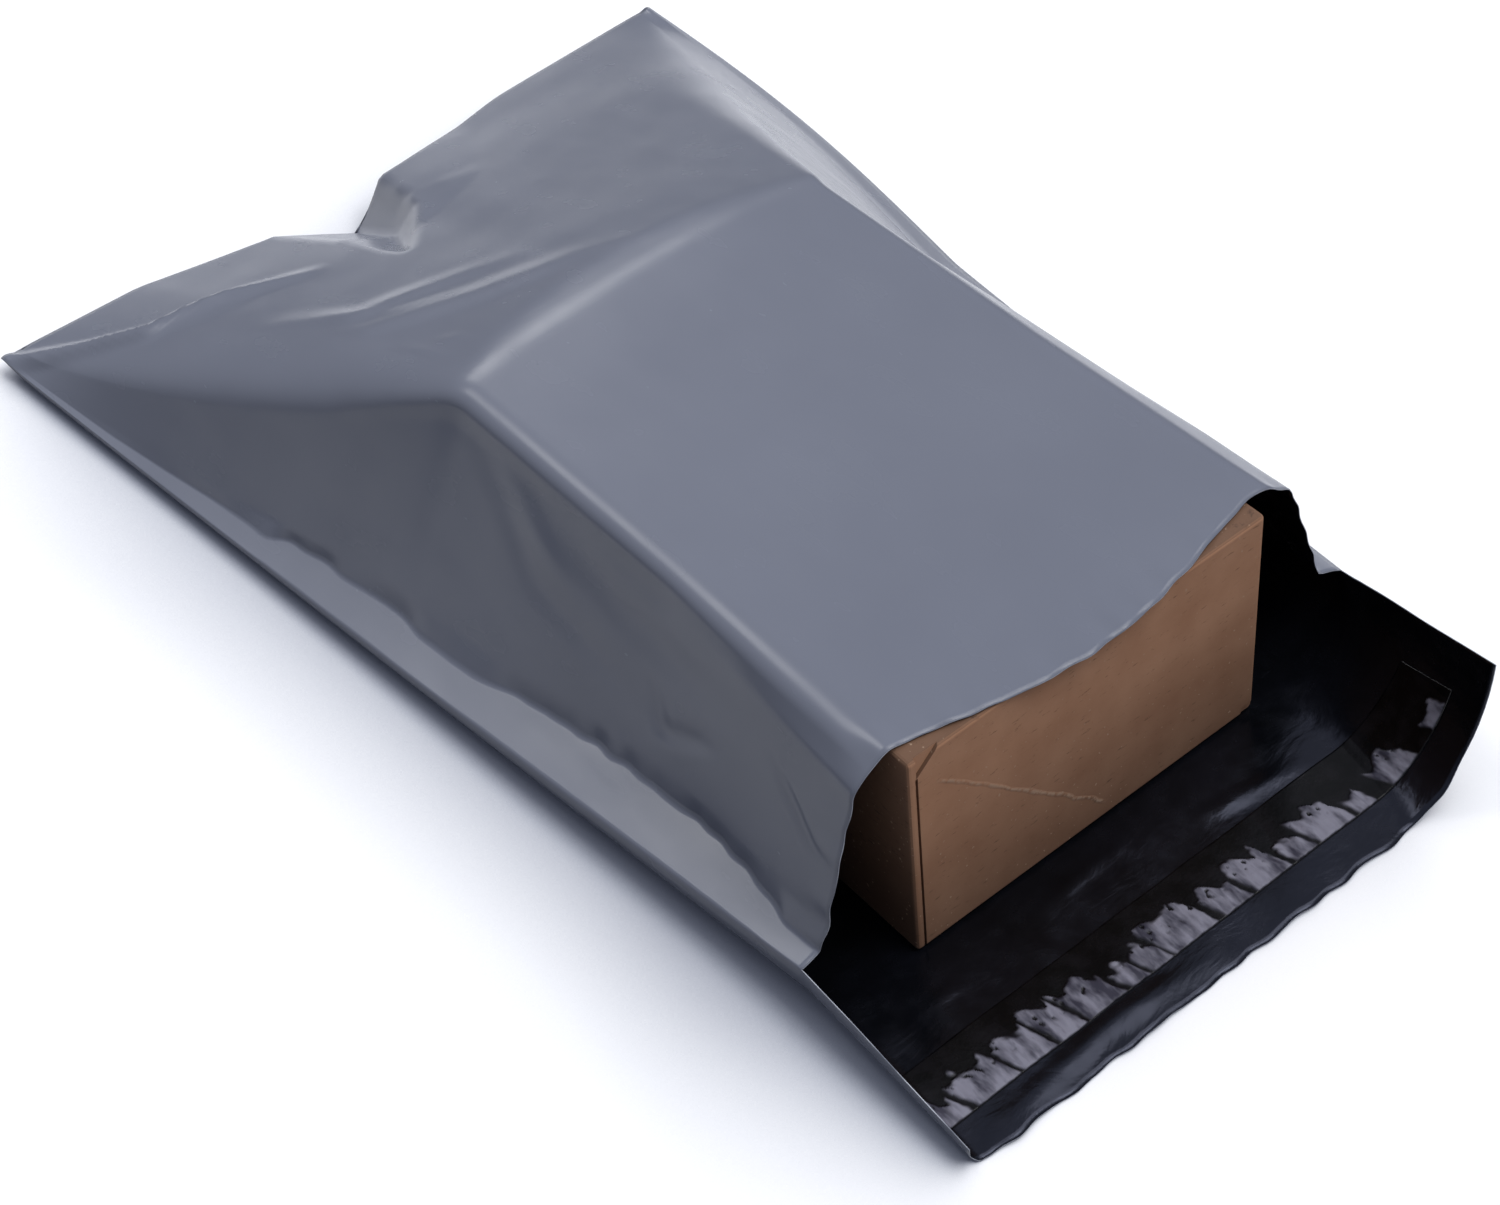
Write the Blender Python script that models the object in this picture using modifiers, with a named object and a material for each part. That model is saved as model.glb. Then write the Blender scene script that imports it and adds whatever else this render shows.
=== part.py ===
# Poly mailer bag lying open on a table, with a closed carton slid into it.
# Frame: +Z up from the table, Y along the bag with its mouth toward -Y, X across it.
# The origin lies on the underside of the film, below the middle of the carton's front end.
# "Near" is the -X side and "far" the +X side.

import math

import bmesh
import bpy
from mathutils import Vector

# Driving dimensions, in metres

CARTON_WIDTH = 0.118
CARTON_LENGTH = 0.175
CARTON_HEIGHT = 0.0734
CARTON_EDGE_RADIUS = 0.0012

SLIT_INSET = 0.0026          # slit beside the carton's near front edge
SLIT_WIDTH = 0.0008
SLIT_DEPTH = 0.0008
NOTCH_WIDTH = 0.0075         # cut-away corner of the end flap, above the slit
NOTCH_HEIGHT = 0.0070
NOTCH_DEPTH = 0.0010
FLAP_STEP_WIDTH = 0.0045     # small step at the end flap's lower far corner
FLAP_STEP_HEIGHT = 0.0030

FILM_THICKNESS = 0.0005
FILM_FLAT_WIDTH = 0.250      # the bag laid flat, seam to seam
BAG_LENGTH = 0.348           # mouth to closed end
FLAP_LENGTH = 0.0618         # mouth to the cut end of the flap
MOUTH_SETBACK = 0.006        # side seams end this far behind the carton's front end
MOUTH_OVERHANG = 0.0105      # the mouth's edge comes forward this far in the middle
END_DRIFT = 0.0024           # the closed end lies this far toward +X
END_TAKE_UP = 0.0030         # width lost in the pucker of the closed end
CORNER_TUCK = 0.0080         # the side folds end this far short of the corners
CREST_BULGE = 0.0120         # the film bows back this far in the middle, behind the carton
CREST_BACK = 0.0020          # the film stays level this far behind the carton's rear edge,
CREST_BOW = 0.0060           # and this much further in the middle
FACET_EDGE = 0.0020          # gently falling facet behind that, at the sides
FACET_BOW = 0.0100           # and how much deeper it is in the middle
FACET_SLOPE = 0.45           # its slope, as a share of the slope behind it

NEAR_SEAM_MOUTH_HEIGHT = 0.0172
NEAR_SEAM_END_HEIGHT = 0.0050
NEAR_FLAP_EDGE_HEIGHT = 0.0075
NEAR_FLAP_LEAN = 0.0         # how far the flap's edge leans inward at its cut end
NEAR_CURL_WIDTH = 0.0080     # width of the curled margin at the mouth
NEAR_SKIRT_WIDTH = 0.0155    # margin that lies out from the foot of the side, at its widest
NEAR_SKIRT_RISE = 0.27       # its rise for each unit of its width
NEAR_ROLL = 0.0040           # reach of the roll over the carton's long edge
NEAR_REAR_ROLL = 0.0450      # and of the same roll at the closed end
NEAR_SHOULDER = 0.0070       # how far the film stands off the carton's side at the mouth
NEAR_SHOULDER_FADE = 0.0800  # length over which it closes on the carton
NEAR_REAR_BULGE = 0.0        # how far the seam bows out behind the carton
FAR_SEAM_MOUTH_HEIGHT = 0.0212
FAR_SEAM_END_HEIGHT = 0.0110
FAR_FLAP_EDGE_HEIGHT = 0.0437
FAR_FLAP_LEAN = 0.0125
FAR_CURL_WIDTH = 0.0280
FAR_SKIRT_WIDTH = 0.0090
FAR_SKIRT_RISE = 0.60
FAR_ROLL = 0.0035
FAR_REAR_ROLL = 0.0220
FAR_SHOULDER = 0.0110
FAR_SHOULDER_FADE = 0.1690
FAR_REAR_BULGE = 0.0050

SHOULDER_DROP = 0.0080       # the shoulder lies this far below the top at the mouth
HEEL_IN = 0.0012             # foot of the near side, over its skirt's inner edge
HEEL_UP = 0.0070
ROLL_STAND_OFF = 0.0020      # the rolls' corners stand this far out from the carton
CURL_RISE = 0.0300           # length over which the back sheet lifts to the closed end

STRIP_INSET = 0.0248         # strip's inner edge in front of the carton
STRIP_WIDTH = 0.0190
ADHESIVE_THICKNESS = 0.0004
LINER_THICKNESS = 0.0003

FIT_GAP = 0.0003             # between pieces that touch

DART_DEPTH = 0.0115          # pinched fold that runs in from the closed end
DART_NEAR_REACH = 0.0310     # its width on either side of its valley, at the closed end
DART_FAR_REACH = 0.0230
DART_SHARE = -0.10           # its place across, as a share of the half width
DART_LEAST = 0.30            # share of its width that its columns keep in front of its tip

# The dart's valley from its tip back, as x and the distance in front of the closed end
DART_LINE = ((-0.0270, 0.0960), (-0.0200, 0.0540), (-0.0060, 0.0200))

# Closed end, from the near corner to the far one: place across, as a share of the half width;
# how far the edge is drawn in; and its height above the table, without the dart
CLOSED_END = (
    (-1.00, 0.0000, 0.0050),
    (-0.65, 0.0050, 0.0080),
    (-0.30, 0.0215, 0.0140),
    (-0.06, 0.0260, 0.0146),
    (0.13, 0.0205, 0.0150),
    (0.50, 0.0105, 0.0105),
    (1.00, 0.0085, 0.0110),
)

# Skirts from the mouth to the closed end: share of the bag's length, share of the full width
NEAR_SKIRT_FORM = (
    (0.00, 0.38),
    (0.05, 0.56),
    (0.09, 0.76),
    (0.15, 0.97),
    (0.27, 0.99),
    (0.35, 0.86),
    (0.40, 0.66),
    (0.47, 0.68),
    (0.50, 0.78),
    (0.61, 0.70),
    (0.65, 0.40),
    (0.75, 0.34),
    (0.85, 0.16),
    (1.00, 0.05),
)
FAR_SKIRT_FORM = ((0.00, 1.00), (0.48, 1.00), (1.00, 0.11))

STEEPEST_WALL = 0.90         # share of the front sheet's side that may go into its height
MOUTH_SHOULDER_SHARE = 0.12  # place of the shoulder between ridge and seam, over the carton
REAR_SHOULDER_SHARE = 0.50   # and at the closed end
HEEL_SHARE = 0.20            # place of the heel between skirt and shoulder, where it is not drawn in
ROLL_LIMIT = 0.70            # a roll takes at most this share of the way to the shoulder
ROLL_GROWTH = 1.30           # power by which it grows toward the closed end

CARTON_ROWS = 8              # faces along the bag over the carton
FACET_ROWS = 4               # across the gently falling facet
SLOPE_ROWS = 5               # down the slope behind it
LIFT_ROWS = 3                # where the back sheet lifts to the closed end
NEAR_TOP_COLUMNS = 3         # columns across the top between the near roll and the dart
FAR_TOP_COLUMNS = 4          # and between the dart and the far roll
ROLL_STEPS = 3               # faces round each roll
WALL_POINTS = 5              # seam, skirt, heel, middle and shoulder
STRIP_MARGIN = 3             # points of each curled margin that the glue strip leaves free
STRIP_STEPS = 3              # faces across the glue strip

# Worked out from the above

SKIN = FILM_THICKNESS + FIT_GAP
SEAM_DEPTH = 3.2 * FILM_THICKNESS
CARTON_BASE = SKIN
TOP_HEIGHT = CARTON_BASE + CARTON_HEIGHT + SKIN
CLOSED_END_Y = MOUTH_SETBACK + BAG_LENGTH
FLAP_END_Y = MOUTH_SETBACK - FLAP_LENGTH
FACET_END_Y = CARTON_LENGTH + CREST_BACK + CREST_BOW + FACET_EDGE + FACET_BOW
STRIP_INNER_Y = -STRIP_INSET
STRIP_OUTER_Y = -STRIP_INSET - STRIP_WIDTH
WALL_LENGTH = (FILM_FLAT_WIDTH - CARTON_WIDTH) / 2
CURL_POINTS = WALL_POINTS + ROLL_STEPS + 1   # as many as up each side
TOP_COLUMNS = NEAR_TOP_COLUMNS + 3 + FAR_TOP_COLUMNS    # the dart takes three

NEAR = {
    "sign": -1,
    "seam_mouth": NEAR_SEAM_MOUTH_HEIGHT,
    "seam_end": NEAR_SEAM_END_HEIGHT,
    "flap_edge": NEAR_FLAP_EDGE_HEIGHT,
    "flap_lean": NEAR_FLAP_LEAN,
    "curl": NEAR_CURL_WIDTH,
    "skirt_width": NEAR_SKIRT_WIDTH,
    "skirt_rise": NEAR_SKIRT_RISE,
    "skirt_form": NEAR_SKIRT_FORM,
    "heel_drawn": 1.0,
    "roll": NEAR_ROLL,
    "rear_roll": NEAR_REAR_ROLL,
    "shoulder": NEAR_SHOULDER,
    "fade": NEAR_SHOULDER_FADE,
    "bulge": NEAR_REAR_BULGE,
}
FAR = {
    "sign": 1,
    "seam_mouth": FAR_SEAM_MOUTH_HEIGHT,
    "seam_end": FAR_SEAM_END_HEIGHT,
    "flap_edge": FAR_FLAP_EDGE_HEIGHT,
    "flap_lean": FAR_FLAP_LEAN,
    "curl": FAR_CURL_WIDTH,
    "skirt_width": FAR_SKIRT_WIDTH,
    "skirt_rise": FAR_SKIRT_RISE,
    "skirt_form": FAR_SKIRT_FORM,
    "heel_drawn": 0.0,
    "roll": FAR_ROLL,
    "rear_roll": FAR_REAR_ROLL,
    "shoulder": FAR_SHOULDER,
    "fade": FAR_SHOULDER_FADE,
    "bulge": FAR_REAR_BULGE,
}


def clear_scene():
    for old in list(bpy.data.objects):
        bpy.data.objects.remove(old, do_unlink=True)


def new_collection(name):
    group = bpy.data.collections.new(name)
    bpy.context.scene.collection.children.link(group)
    return group


def make_material(name, colour, roughness):
    material = bpy.data.materials.new(name)
    material.use_nodes = True
    shader = material.node_tree.nodes["Principled BSDF"]
    shader.inputs["Base Color"].default_value = (*colour, 1.0)
    shader.inputs["Roughness"].default_value = roughness
    shader.inputs["Metallic"].default_value = 0.0
    return material


def mesh_object(name, bm, collection, material=None):
    mesh = bpy.data.meshes.new(name)
    bm.to_mesh(mesh)
    bm.free()
    made = bpy.data.objects.new(name, mesh)
    collection.objects.link(made)
    if material:
        mesh.materials.append(material)
    return made


def mix(a, b, t):
    return a + (b - a) * t


def clamp(value):
    return min(max(value, 0.0), 1.0)


def read_off(table, at, column=1):
    """Value of a table's column, read between its rows, which are sorted by the first one."""
    for low, high in zip(table, table[1:]):
        if at <= high[0]:
            t = clamp((at - low[0]) / (high[0] - low[0]))
            return mix(low[column], high[column], t)
    return table[-1][column]


def end_inset(share):
    """How far the closed end's edge is drawn in, at a share of the half width."""
    return read_off(CLOSED_END, share, 1)


def end_height(share):
    """Height of the closed end's edge, at a share of the half width."""
    return read_off(CLOSED_END, share, 2)


def rear_share(y):
    """0 at the carton's rear end and in front of it, 1 at the closed end."""
    return clamp((y - CARTON_LENGTH) / (CLOSED_END_Y - CARTON_LENGTH))


def flap_share(y):
    """0 at the mouth and behind it, 1 at the flap's cut end."""
    return clamp((MOUTH_SETBACK - y) / FLAP_LENGTH)


def mouth_seam_height(side):
    """The seam's own height, or higher where the front sheet is too short to reach down to it."""
    return max(side["seam_mouth"], TOP_HEIGHT - STEEPEST_WALL * WALL_LENGTH)


def mouth_seam_x(side):
    """The taut front sheet reaches from the carton's top edge down to the seam."""
    drop = TOP_HEIGHT - mouth_seam_height(side)
    reach = math.sqrt(max(WALL_LENGTH ** 2 - drop ** 2, 0.0))
    return CARTON_WIDTH / 2 + reach


def corner_x(side):
    half = (FILM_FLAT_WIDTH - END_TAKE_UP) / 2
    return half + side["sign"] * END_DRIFT


def seam_point(side, y):
    """Outer edge of the film at y, as (x, z)."""
    s = clamp((y - MOUTH_SETBACK) / BAG_LENGTH)
    flap = flap_share(y)
    x = mix(mouth_seam_x(side), corner_x(side), s) - side["flap_lean"] * flap
    x += side["bulge"] * math.sin(math.pi * rear_share(y))
    z = mix(mouth_seam_height(side), side["seam_end"], 1 - (1 - s) ** 2)
    z = mix(z, side["flap_edge"], flap)
    return Vector((side["sign"] * x, z))


def drawn_place(share, y):
    """Rows bow back in the middle behind the carton, and draw in with the closed end."""
    t = rear_share(y)
    bow = CREST_BULGE * (1 - share ** 2) * 4 * t * (1 - t) ** 3
    return y + bow - end_inset(share) * t ** 2


def row_place(share, y):
    """The front sheet's rows also come forward in the middle as they near the mouth."""
    nearness = clamp(1 - (y - MOUTH_SETBACK) / CARTON_LENGTH)
    forward = MOUTH_OVERHANG * (1 - share ** 2) ** 1.5 * nearness ** 2
    return drawn_place(share, y) - forward


def top_height(share, y):
    """Level over the carton, a gently falling facet behind it, then down to the closed end."""
    middle = 1 - share ** 2
    crest = CARTON_LENGTH + CREST_BACK + CREST_BOW * middle
    facet = FACET_EDGE + FACET_BOW * middle
    run = CLOSED_END_Y - end_inset(share) - crest
    slope = (TOP_HEIGHT - end_height(share)) / (run - (1 - FACET_SLOPE) * facet)
    behind = max(y - crest, 0.0)
    fallen = FACET_SLOPE * min(behind, facet) + max(behind - facet, 0.0)
    return TOP_HEIGHT - slope * fallen


def ridge_x(side, y):
    return mix(CARTON_WIDTH / 2 + SKIN, corner_x(side) - CORNER_TUCK, rear_share(y))


def share_across(x, y):
    """-1 on the near ridge, 1 on the far one, and held there outside them."""
    left = -ridge_x(NEAR, y)
    right = ridge_x(FAR, y)
    return 2 * clamp((x - left) / (right - left)) - 1


def top_point(x, y):
    """Point of the front sheet between the two ridges, as (x, z)."""
    share = share_across(x, y)
    return Vector((x, top_height(share, row_place(share, y))))


def heel_point(side, skirt, shoulder, t):
    """Foot of the side: drawn in over the near skirt beside the carton, otherwise on the way up."""
    drawn = skirt + Vector((HEEL_IN, HEEL_UP)) * (1 - t)
    return skirt.lerp(shoulder, HEEL_SHARE).lerp(drawn, side["heel_drawn"] * (1 - t))


def wall_points(side, y):
    """Front sheet from its seam up the side and over the roll onto the top, as (x, z)."""
    sign = side["sign"]
    t = rear_share(y)
    seam = seam_point(side, y)
    ridge = top_point(sign * ridge_x(side, y), y)
    opened = clamp(1 - (y - MOUTH_SETBACK) / side["fade"])
    shoulder = ridge.lerp(seam, mix(MOUTH_SHOULDER_SHARE, REAR_SHOULDER_SHARE, t))
    shoulder.x += sign * side["shoulder"] * opened
    shoulder.y = mix(shoulder.y, TOP_HEIGHT - SHOULDER_DROP, opened)
    along = (y - MOUTH_SETBACK) / BAG_LENGTH
    width = side["skirt_width"] * read_off(side["skirt_form"], along)
    skirt = seam + Vector((-sign, side["skirt_rise"])) * width
    heel = heel_point(side, skirt, shoulder, t)
    corner = ridge.copy()
    corner.x += sign * max(ROLL_STAND_OFF * (1 - t), side["shoulder"] * opened / 2)
    size = mix(side["roll"], side["rear_roll"], t ** ROLL_GROWTH)
    landing = top_point(corner.x - sign * size, y)
    leaving = corner.lerp(shoulder, min(size / (corner - shoulder).length, ROLL_LIMIT))
    points = [seam, skirt, heel, heel.lerp(shoulder, 0.5), shoulder]
    for step in range(ROLL_STEPS + 1):
        turn = step / ROLL_STEPS
        points.append(leaving.lerp(corner, turn).lerp(corner.lerp(landing, turn), turn))
    return points


def spread(start, end, count):
    """Evenly spaced values between start and end, both left out."""
    return [mix(start, end, (i + 1) / (count + 1)) for i in range(count)]


def top_points(y, near_x, far_x):
    """Front sheet between the two rolls, with the dart's two feet and its valley, as (x, z)."""
    valley_y = row_place(DART_SHARE, y)
    line = [(CLOSED_END_Y - ahead, x) for x, ahead in DART_LINE]
    valley_x = read_off(line, valley_y)
    opened = clamp((valley_y - line[0][0]) / (line[-1][0] - line[0][0]))
    near_foot = valley_x - DART_NEAR_REACH * mix(DART_LEAST, 1.0, opened)
    far_foot = valley_x + DART_FAR_REACH * mix(DART_LEAST, 1.0, opened)
    places = spread(near_x, near_foot, NEAR_TOP_COLUMNS)
    places += [near_foot, valley_x, far_foot]
    places += spread(far_foot, far_x, FAR_TOP_COLUMNS)
    points = [top_point(x, y) for x in places]
    points[NEAR_TOP_COLUMNS + 1].y -= DART_DEPTH * opened
    return points


def front_sheet_row(y):
    near = wall_points(NEAR, y)
    far = wall_points(FAR, y)
    top = top_points(y, near[-1].x, far[-1].x)
    return [Vector((p.x, row_place(share_across(p.x, y), y), p.y)) for p in near + top + far[::-1]]


def curl_points(side, y):
    """Curled margin of the back sheet, from its seam down to the table, as (x, z)."""
    seam = seam_point(side, y)
    height = seam.y - SEAM_DEPTH
    reach = side["curl"] * min(seam.y / side["seam_mouth"], 1.0)
    points = []
    for step in range(CURL_POINTS):
        turn = math.pi / 2 * step / (CURL_POINTS - 1)
        x = seam.x - side["sign"] * reach * (1 - math.cos(turn))
        points.append(Vector((x, height * (1 - math.sin(turn)))))
    return points


def back_sheet_row(y):
    """Back sheet with its curled margins; near the closed end it lifts to the front sheet."""
    near = curl_points(NEAR, y)
    far = curl_points(FAR, y)
    across = spread(near[-1].x, far[-1].x, TOP_COLUMNS)
    flat = near + [Vector((x, 0.0)) for x in across] + far[::-1]
    half = max(abs(near[0].x), far[0].x)
    row = [Vector((p.x, drawn_place(p.x / half, y), p.y)) for p in flat]
    lift = clamp((y - CLOSED_END_Y + CURL_RISE) / CURL_RISE) ** 2
    if lift > 0:
        under = [p - Vector((0, 0, SEAM_DEPTH)) for p in front_sheet_row(y)]
        row = [p.lerp(q, lift) for p, q in zip(row, under)]
    return row


def bag_rows():
    """Places of the cross-sections along the closed part of the bag."""
    stops = (
        (CARTON_LENGTH, CARTON_ROWS),
        (FACET_END_Y, FACET_ROWS),
        (CLOSED_END_Y - CURL_RISE, SLOPE_ROWS),
        (CLOSED_END_Y, LIFT_ROWS),
    )
    rows = [MOUTH_SETBACK]
    for stop, count in stops:
        rows += spread(rows[-1], stop, count - 1) + [stop]
    return rows


def strip_rows():
    """Places of the cross-sections under the glue strip, from its outer edge inward."""
    return [mix(STRIP_OUTER_Y, STRIP_INNER_Y, i / STRIP_STEPS) for i in range(STRIP_STEPS + 1)]


def flap_rows():
    """Places of the cross-sections along the flap, from its cut end to the mouth."""
    half_way = (STRIP_INNER_Y + MOUTH_SETBACK) / 2
    return [FLAP_END_Y] + strip_rows() + [half_way]


def bridge(bm, first, second):
    for a, b, c, d in zip(first, first[1:], second[1:], second):
        bm.faces.new((a, b, c, d))


def build_mailer_bag(collection, material):
    bm = bmesh.new()
    rows = bag_rows()
    front = [front_sheet_row(y) for y in rows]
    back = [back_sheet_row(y) for y in rows]
    flap = [back_sheet_row(y) for y in flap_rows()]
    front = [[bm.verts.new(p) for p in row] for row in front]
    back = [[bm.verts.new(p) for p in row] for row in back]
    flap = [[bm.verts.new(p) for p in row] for row in flap]
    for this, following in zip(front, front[1:]):
        bridge(bm, this, following)
    for this, following in zip(flap + back, (flap + back)[1:]):
        bridge(bm, following, this)
    bridge(bm, front[-1], back[-1])
    for i in range(len(rows) - 1):
        bm.faces.new((front[i][0], front[i + 1][0], back[i + 1][0], back[i][0]))
        bm.faces.new((front[i + 1][-1], front[i][-1], back[i][-1], back[i + 1][-1]))
    made = mesh_object("mailer_bag", bm, collection, material)
    shell = made.modifiers.new("film", "SOLIDIFY")
    shell.thickness = FILM_THICKNESS
    shell.offset = -1.0
    shell.use_even_offset = False
    return made


def strip_section(y, lift):
    """Flap's inside face at y, raised by lift along its own normal."""
    flat = [Vector((p.x, p.z)) for p in back_sheet_row(y)]
    raised = []
    for i in range(STRIP_MARGIN, len(flat) - STRIP_MARGIN):
        along = (flat[i + 1] - flat[i - 1]).normalized()
        normal = Vector((-along.y, along.x))
        point = flat[i] + normal * lift
        raised.append(Vector((point.x, y, point.y)))
    return raised


def build_strip(name, collection, material, clearance, thickness):
    """Band across the flap, between the strip's two edges."""
    bm = bmesh.new()
    lift = FILM_THICKNESS + clearance + thickness
    rows = [[bm.verts.new(p) for p in strip_section(y, lift)] for y in strip_rows()]
    for this, following in zip(rows, rows[1:]):
        bridge(bm, this, following)
    made = mesh_object(name, bm, collection, material)
    band = made.modifiers.new("thickness", "SOLIDIFY")
    band.thickness = thickness
    band.offset = -1.0
    return made


def make_cutter(name, bm, collection):
    cutter = mesh_object(name, bm, collection)
    cutter.hide_render = True
    cutter.display_type = "WIRE"
    return cutter


def box_cutter(name, collection, size, centre):
    bm = bmesh.new()
    bmesh.ops.create_cube(bm, size=1.0)
    bmesh.ops.scale(bm, vec=size, verts=bm.verts)
    cutter = make_cutter(name, bm, collection)
    cutter.location = centre
    return cutter


def notch_cutter(name, collection, corner):
    """Three-sided prism that takes the top corner off the end flap."""
    bm = bmesh.new()
    x, y, z = corner
    outline = ((x, z), (x + NOTCH_WIDTH, z), (x, z - NOTCH_HEIGHT))
    front = [bm.verts.new((px, y - NOTCH_DEPTH, pz)) for px, pz in outline]
    face = bm.faces.new(front)
    pushed = bmesh.ops.extrude_face_region(bm, geom=[face])
    moved = [item for item in pushed["geom"] if isinstance(item, bmesh.types.BMVert)]
    bmesh.ops.translate(bm, vec=(0, 2 * NOTCH_DEPTH, 0), verts=moved)
    bmesh.ops.recalc_face_normals(bm, faces=bm.faces)
    return make_cutter(name, bm, collection)


def cut(target, cutter):
    difference = target.modifiers.new(cutter.name, "BOOLEAN")
    difference.operation = "DIFFERENCE"
    difference.object = cutter


def build_carton(collection, cutters, material):
    bm = bmesh.new()
    bmesh.ops.create_cube(bm, size=1.0)
    bmesh.ops.scale(bm, vec=(CARTON_WIDTH, CARTON_LENGTH, CARTON_HEIGHT), verts=bm.verts)
    made = mesh_object("carton", bm, collection, material)
    made.location = (0, CARTON_LENGTH / 2, CARTON_BASE + CARTON_HEIGHT / 2)
    edges = made.modifiers.new("folded_edges", "BEVEL")
    edges.width = CARTON_EDGE_RADIUS
    edges.segments = 3

    near_edge = -CARTON_WIDTH / 2
    top = CARTON_BASE + CARTON_HEIGHT
    slit_top = top - NOTCH_HEIGHT
    slit_x = near_edge + SLIT_INSET
    slit_height = slit_top - CARTON_BASE + CARTON_EDGE_RADIUS
    slit = box_cutter(
        "slit_cutter",
        cutters,
        (SLIT_WIDTH, 2 * SLIT_DEPTH, slit_height),
        (slit_x, 0, slit_top - slit_height / 2),
    )
    cut(made, slit)
    notch = notch_cutter("notch_cutter", cutters, (slit_x, 0, top))
    cut(made, notch)
    step = box_cutter(
        "flap_step_cutter",
        cutters,
        (2 * FLAP_STEP_WIDTH, 2 * SLIT_DEPTH, 2 * FLAP_STEP_HEIGHT),
        (CARTON_WIDTH / 2, 0, CARTON_BASE),
    )
    cut(made, step)
    return made


def main():
    clear_scene()
    parts = new_collection("poly_mailer_bag")
    cutters = new_collection("cutters")
    film = make_material("grey_film", (0.18, 0.19, 0.23), 0.45)
    glue = make_material("hot_melt_glue", (0.02, 0.018, 0.016), 0.3)
    liner = make_material("clear_liner", (0.15, 0.14, 0.16), 0.25)
    kraft = make_material("kraft_board", (0.2, 0.11, 0.07), 0.85)
    build_mailer_bag(parts, film)
    build_strip("adhesive_strip", parts, glue, FIT_GAP, ADHESIVE_THICKNESS)
    liner_clearance = 2 * FIT_GAP + ADHESIVE_THICKNESS
    build_strip("release_liner", parts, liner, liner_clearance, LINER_THICKNESS)
    build_carton(parts, cutters, kraft)


main()
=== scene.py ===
import math

import bpy
import numpy as np
from mathutils import Matrix, Vector


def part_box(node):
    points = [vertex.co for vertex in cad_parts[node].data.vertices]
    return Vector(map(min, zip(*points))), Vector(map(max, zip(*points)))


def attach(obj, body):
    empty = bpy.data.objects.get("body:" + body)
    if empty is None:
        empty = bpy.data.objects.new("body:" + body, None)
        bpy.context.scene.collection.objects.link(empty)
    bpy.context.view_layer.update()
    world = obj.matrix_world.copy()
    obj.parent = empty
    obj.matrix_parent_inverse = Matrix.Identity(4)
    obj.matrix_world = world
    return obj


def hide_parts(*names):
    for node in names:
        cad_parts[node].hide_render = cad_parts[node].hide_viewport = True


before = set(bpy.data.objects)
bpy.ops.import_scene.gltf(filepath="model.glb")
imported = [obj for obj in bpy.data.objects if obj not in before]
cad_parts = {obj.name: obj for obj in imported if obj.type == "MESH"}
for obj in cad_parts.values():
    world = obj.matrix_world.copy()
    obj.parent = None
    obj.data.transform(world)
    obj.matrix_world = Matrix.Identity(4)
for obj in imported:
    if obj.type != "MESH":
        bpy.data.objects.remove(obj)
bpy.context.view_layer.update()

mm = 0.001

cartonHigh = Vector(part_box("carton")[1])
cartonHalf = cartonHigh.x                        # half the carton's width
cartonRear = cartonHigh.y
topHeight = Vector(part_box("mailer_bag")[1]).z    # film over the carton's top


# colours and shader nodes

def hexToLinear(code):
    # sRGB hex, as a colour picker gives it, to the linear values that the shaders take
    values = [int(code[i:i + 2], 16) / 255 for i in (1, 3, 5)]
    return tuple(v / 12.92 if v <= 0.04045 else ((v + 0.055) / 1.055) ** 2.4 for v in values) + (1.0,)


def link(tree, node, links):
    for socket, source in links.items():
        output = source.outputs[0] if hasattr(source, "outputs") else source
        tree.links.new(output, node.inputs[socket])


def addNode(tree, kind, links=None, values=None, **settings):
    node = tree.nodes.new("ShaderNode" + kind)
    for name, value in settings.items():
        setattr(node, name, value)
    for socket, value in (values or {}).items():
        node.inputs[socket].default_value = value
    link(tree, node, links or {})
    return node


def newMaterial(name, **shaderValues):
    material = bpy.data.materials.new(name)
    material.use_nodes = True
    tree = material.node_tree
    shader = tree.nodes["Principled BSDF"]
    for socket, value in shaderValues.items():
        shader.inputs[socket.replace("_", " ")].default_value = value
    return material, tree, shader


def inMillimetres(tree, stretch=(1, 1, 1)):
    # place on the object in real millimetres, so that each pattern below has its real size
    place = addNode(tree, "TexCoord").outputs["Object"]
    return addNode(tree, "Mapping", {"Vector": place}, {"Scale": [s / mm for s in stretch]})


def twoTones(tree, pattern, low, high, first, second):
    # the first colour where the pattern is under low, the second where it is over high
    share = addNode(tree, "MapRange", {"Value": pattern}, {"From Min": low, "From Max": high})
    both = addNode(tree, "Mix", {0: share}, {6: hexToLinear(first), 7: hexToLinear(second)},
                   data_type="RGBA")
    return both.outputs[2]


# camera, where the photograph was taken from

camera = {
    "azimuth": -34.424,
    "elevation": 47.396,
    "roll": -6.535,
    "target": (-0.01441, 0.12149, 0.0),
    "distance": 0.84519,
    "lens": 72.843,
}


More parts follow.
